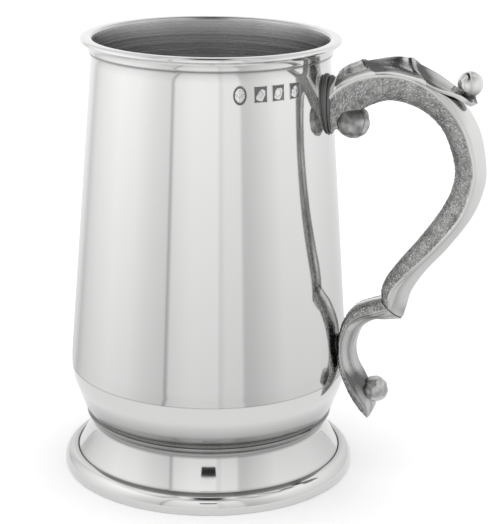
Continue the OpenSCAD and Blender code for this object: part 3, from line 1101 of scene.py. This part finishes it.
def raised_shape(bm, sides, size, centre, height, turn=0, squash=1.0):
    """Adds a small raised disc or polygon with a bevelled top to a flat mark."""
    made = bmesh.ops.create_circle(bm, cap_ends=True, segments=sides, radius=size)["verts"]
    spin = Matrix.Rotation(turn, 3, "Z")
    for v in made:
        v.co = spin @ Vector((v.co.x * squash, v.co.y, 0))
        v.co += Vector((centre[0], centre[1], 0.02))
    face = list({f for v in made for f in v.link_faces})
    sides_up = bmesh.ops.extrude_face_region(bm, geom=face)
    for v in verts_in(sides_up["geom"]):
        v.co.z += height
        v.co.x = centre[0] + (v.co.x - centre[0]) * 0.8
        v.co.y = centre[1] + (v.co.y - centre[1]) * 0.8


def mark_frame(bm, width, height, oval):
    """A raised border round a sunk ground, flat, in millimetres."""
    sides = 40 if oval else 4
    turn = 0 if oval else math.pi / 4
    radius = 0.5 if oval else math.sqrt(0.5)
    made = bmesh.ops.create_circle(bm, cap_ends=True, segments=sides, radius=radius)["verts"]
    spin = Matrix.Rotation(turn, 3, "Z")
    for v in made:
        place = spin @ v.co
        v.co = Vector((place.x * width, place.y * height, 0))
    face = list({f for v in made for f in v.link_faces})
    bmesh.ops.subdivide_edges(bm, edges=list({e for f in face for e in f.edges}), cuts=3)
    top = bmesh.ops.extrude_face_region(bm, geom=list(bm.faces))
    bmesh.ops.translate(bm, verts=verts_in(top["geom"]), vec=(0, 0, 0.14))
    lid = [g for g in top["geom"] if isinstance(g, bmesh.types.BMFace)]
    bmesh.ops.inset_region(bm, faces=lid, thickness=0.16, depth=0)
    bmesh.ops.inset_region(bm, faces=lid, thickness=0.08, depth=-0.12)
    return lid


class TANKARD_OT_marks(bpy.types.Operator):
    """Punch the row of four small plain marks: sprig, lozenge, ring and quatrefoil"""
    bl_idname = "tankard.marks"
    bl_label = "Punched marks"

    def execute(self, context):
        sizes = context.scene.tankard_sizes
        for name, polar, width, height in MARKS:
            bm = bmesh.new()
            ground = set(mark_frame(bm, width, height, name == "sprig"))
            if name == "sprig":
                for tip, x, y in ((0, 0, 0.9), (0.9, -0.8, -0.1), (-0.9, 0.8, -0.1)):
                    raised_shape(bm, 16, 0.8, (x, y), 0.12, tip, 0.4)
                raised_shape(bm, 12, 1.1, (0, -1.3), 0.12, 0, 0.22)
            elif name == "lozenge":
                raised_shape(bm, 4, 1.3, (0, 0), 0.13, 0, 0.75)
            else:
                count, sides, size, across, up = BEADS[name]
                for i in range(count):
                    angle = TAU * i / count
                    raised_shape(bm, sides, size, (across * math.cos(angle),
                                                   up * math.sin(angle)), 0.13)
            patina_and_shade = bm.verts.layers.float.new("patina_and_shade")
            for v in bm.verts:
                sunk = v.co.z < 0.05 and any(f in ground for f in v.link_faces)
                v[patina_and_shade] = 1.0 if sunk else 0.0
            centre = math.radians(polar)
            for v in bm.verts:
                z = sizes.mark_z / MM + v.co.y
                r = wall_radius(sizes, z) + v.co.z
                angle = centre + v.co.x / wall_radius(sizes, z)
                v.co = Vector((r * math.cos(angle), r * math.sin(angle), z)) * MM
            bmesh.ops.recalc_face_normals(bm, faces=bm.faces)
            finish_piece(bm, "mark_" + name, [], "polished_pewter", "patinated_and_shaded_metal",
                         sharp=30)
        return {"FINISHED"}


# ---- Operator: studio ----

# Soft panels of the tent: turn from the camera in degrees, and brightness there.
PANELS = [
    (-180, 0.95), (-135, 0.96), (-124, 0.76), (-114, 0.94), (-100, 1.05), (-80, 1.14),
    (-61, 1.08), (-45, 0.92), (-32.2, 0.84), (-31.6, 0.5), (-29.8, 0.54), (-29, 0.93),
    (-14, 1.03), (6, 1.02), (7, 0.87), (9, 0.87), (10.5, 0.96), (23, 0.95), (24.5, 0.7),
    (30, 0.72), (44, 0.86), (56, 0.98), (90, 1.0), (120, 0.9), (180, 0.95)]

CARD_W, CARD_H, CARD_LEAN = 12.0, 5.2, 23.0      # the camera's dark shape: sides and tilt
CARD_R, CARD_Z = 72.0, 25.2     # its distance and height
TABLE_R = 103.0         # radius of the table that shows in the metal
HEM_W = 3.0             # width of the thin dark line round it
TABLE_GLOW = 0.92       # brightness of the table in the metal


def tent_light(studio):
    """Glow of the light tent: soft panels with darker seams, darker overhead, and a table with a
    painted contact shadow.
    """
    material = bpy.data.materials.new("tent_glow")
    material.use_nodes = True
    tree = material.node_tree
    tree.nodes.clear()
    output = tree.nodes.new("ShaderNodeOutputMaterial")
    glow = tree.nodes.new("ShaderNodeEmission")
    tree.links.new(glow.outputs[0], output.inputs["Surface"])
    coords = tree.nodes.new("ShaderNodeTexCoord").outputs["Object"]
    x, y, z = split_figures(tree, coords)

    a = studio.view_azimuth
    turn = x.math("ARCTAN2", y * -1.0) * (1 / TAU) + (1.5 - a / TAU)
    ramp = tree.nodes.new("ShaderNodeValToRGB")
    stops = ramp.color_ramp.elements
    stops.remove(stops[1])
    for degrees, level in PANELS:
        stop = stops.new((degrees + 180) / 360) if degrees > -180 else stops[0]
        stop.color = (level / 2, level / 2, level / 2, 1)
    turn.math("FRACT").feed(ramp.inputs["Fac"])
    panel = Figure(tree, ramp.outputs["Color"]) * 2.0

    # The walls brighten upwards to fade_z, and over dark_z the tent is dark but for two wings.
    fade_z, dark_z = 0.13, 0.165
    along, across = math.cos(a) / studio.tent_r, math.sin(a) / studio.tent_r
    ahead = x * across - y * along
    aside = x * along + y * across
    fade = z.math("MINIMUM", fade_z) * 2.3 + 0.83
    high = (z + (ahead * 0.035 - dark_z)).math("MAXIMUM", 0.0)
    off = aside.math("ABSOLUTE") * 4.0 - 2.2
    wing = (off * off * -1.0 + 1.0).math("MAXIMUM", aside * aside * 0.8)
    dim = (high * -5.0 + 1.0).math("MAXIMUM", wing + 0.04).math("MINIMUM", 1.0)

    # The table as the metal shows it, with a painted contact shadow that darkens it close to the
    # foot, and the thin dark hem round it.
    reach = (x * x + y * y).math("SQRT")
    low = z.math("LESS_THAN", 1.0 * MM)
    near = low * reach.math("LESS_THAN", TABLE_R * MM)
    hem = (low - near) * reach.math("LESS_THAN", (TABLE_R + HEM_W) * MM)
    side = fade * dim * panel * (hem * -0.4 + 1.0)
    shadowed_table = ((reach - (FOOT_R - 2) * MM) * 6.0 + 0.82).math("MINIMUM", TABLE_GLOW)
    (near * shadowed_table + (near * -1.0 + 1.0) * side).feed(glow.inputs["Strength"])
    return material


def matt(name, level, roughness, specular):
    """A plain grey paint."""
    material = bpy.data.materials.new(name)
    material.use_nodes = True
    paint = material.node_tree.nodes["Principled BSDF"].inputs
    paint["Base Color"].default_value = (level, level, level, 1)
    paint["Roughness"].default_value = roughness
    paint["Specular IOR Level"].default_value = specular
    return material


def glossy_only(obj):
    """Lets an object show in reflections and nowhere else."""
    for ray in ("camera", "diffuse", "shadow", "transmission", "volume_scatter"):
        setattr(obj, "visible_" + ray, False)


class TANKARD_OT_studio(bpy.types.Operator):
    """Set out the pale floor, the light tent and the camera"""
    bl_idname = "tankard.studio"
    bl_label = "Studio"

    def stage_object(self, bm, name, material):
        obj = new_object(name, bm, [material])
        return obj

    def execute(self, context):
        studio = context.scene.tankard_studio
        scene = context.scene
        scene.view_settings.view_transform = "Standard"
        world = bpy.data.worlds.new("soft_sky")
        world.use_nodes = True
        sky = world.node_tree.nodes["Background"]
        sky.inputs["Color"].default_value = (1, 1, 1, 1)
        sky.inputs["Strength"].default_value = studio.sky
        scene.world = world

        bm = bmesh.new()
        bmesh.ops.create_grid(bm, x_segments=1, y_segments=1, size=6)
        self.stage_object(bm, "table", matt("pale_table", 0.93, 0.9, 0.0))

        bm = bmesh.new()
        bmesh.ops.create_cone(bm, cap_ends=True, segments=256, radius1=studio.tent_r,
                              radius2=studio.tent_r, depth=studio.tent_h)
        bmesh.ops.translate(bm, verts=bm.verts, vec=(0, 0, studio.tent_h / 2 + 0.5 * MM))
        glossy_only(self.stage_object(bm, "light_tent", tent_light(studio)))

        bm = bmesh.new()
        bmesh.ops.create_grid(bm, x_segments=1, y_segments=1, size=0.5 * MM)
        bmesh.ops.scale(bm, verts=bm.verts, vec=(CARD_W, CARD_H, 1))
        bmesh.ops.rotate(bm, verts=bm.verts, cent=(0, 0, 0),
                         matrix=Matrix.Rotation(math.radians(CARD_LEAN), 3, "X"))
        bmesh.ops.translate(bm, verts=bm.verts, vec=Vector((0, -CARD_R, CARD_Z)) * MM)
        bmesh.ops.rotate(bm, verts=bm.verts, cent=(0, 0, 0),
                         matrix=Matrix.Rotation(studio.view_azimuth, 3, "Z"))
        shade = matt("camera_shade", 0.0, 1.0, 0.5)
        glossy_only(self.stage_object(bm, "camera_card", shade))

        eye = bpy.data.cameras.new("view")
        eye.sensor_width = 36
        eye.lens = studio.lens
        eye.clip_start = 0.01
        camera = bpy.data.objects.new("view", eye)
        scene.collection.objects.link(camera)
        camera.matrix_world = self.camera_place(studio)
        scene.camera = camera
        return {"FINISHED"}

    def camera_place(self, studio):
        """The camera's matrix: it stands off the axis, looks down, and is turned and tilted."""
        turn = Matrix.Rotation(studio.view_azimuth, 3, "Z")
        yaw, pitch = studio.view_yaw, studio.view_pitch
        forward = turn @ Vector((math.sin(yaw) * math.cos(pitch),
                                 math.cos(yaw) * math.cos(pitch), -math.sin(pitch)))
        right = forward.cross(Vector((0, 0, 1))).normalized()
        up = right.cross(forward)
        c, s = math.cos(studio.view_roll), math.sin(studio.view_roll)
        right, up = right * c + up * s, up * c - right * s
        place = turn @ Vector((0, -studio.view_distance, studio.view_height))
        matrix = Matrix((right, up, -forward)).transposed().to_4x4()
        matrix.translation = place
        return matrix


class TANKARD_PT_panel(bpy.types.Panel):
    """Lists the tankard's steps and its sizes"""
    bl_idname = "TANKARD_PT_panel"
    bl_label = "Pewter tankard"
    bl_space_type = "VIEW_3D"
    bl_region_type = "UI"
    bl_category = "Tankard"

    def draw(self, context):
        layout = self.layout
        for step in STEPS:
            layout.operator(step.bl_idname)
        for group in (context.scene.tankard_sizes, context.scene.tankard_finish,
                      context.scene.tankard_studio):
            box = layout.box()
            for name in group.bl_rna.properties.keys():
                if name not in ("rna_type", "name"):
                    box.prop(group, name)


STEPS = (TANKARD_OT_metals, TANKARD_OT_body, TANKARD_OT_lip, TANKARD_OT_cup_floor,
         TANKARD_OT_foot, TANKARD_OT_upper_scroll, TANKARD_OT_lower_scroll, TANKARD_OT_balls,
         TANKARD_OT_leaf, TANKARD_OT_solder, TANKARD_OT_marks, TANKARD_OT_studio)
CLASSES = (TankardSizes, TankardFinish, TankardStudio) + STEPS + (TANKARD_PT_panel,)


def register():
    for cls in CLASSES:
        bpy.utils.register_class(cls)
    bpy.types.Scene.tankard_sizes = bpy.props.PointerProperty(type=TankardSizes)
    bpy.types.Scene.tankard_finish = bpy.props.PointerProperty(type=TankardFinish)
    bpy.types.Scene.tankard_studio = bpy.props.PointerProperty(type=TankardStudio)


def unregister():
    del bpy.types.Scene.tankard_studio
    del bpy.types.Scene.tankard_finish
    del bpy.types.Scene.tankard_sizes
    for cls in reversed(CLASSES):
        bpy.utils.unregister_class(cls)


def main():
    """Makes every piece in order."""
    register()
    for step in STEPS:
        group, name = step.bl_idname.split(".")
        getattr(getattr(bpy.ops, group), name)()


if __name__ == "__main__":
    main()
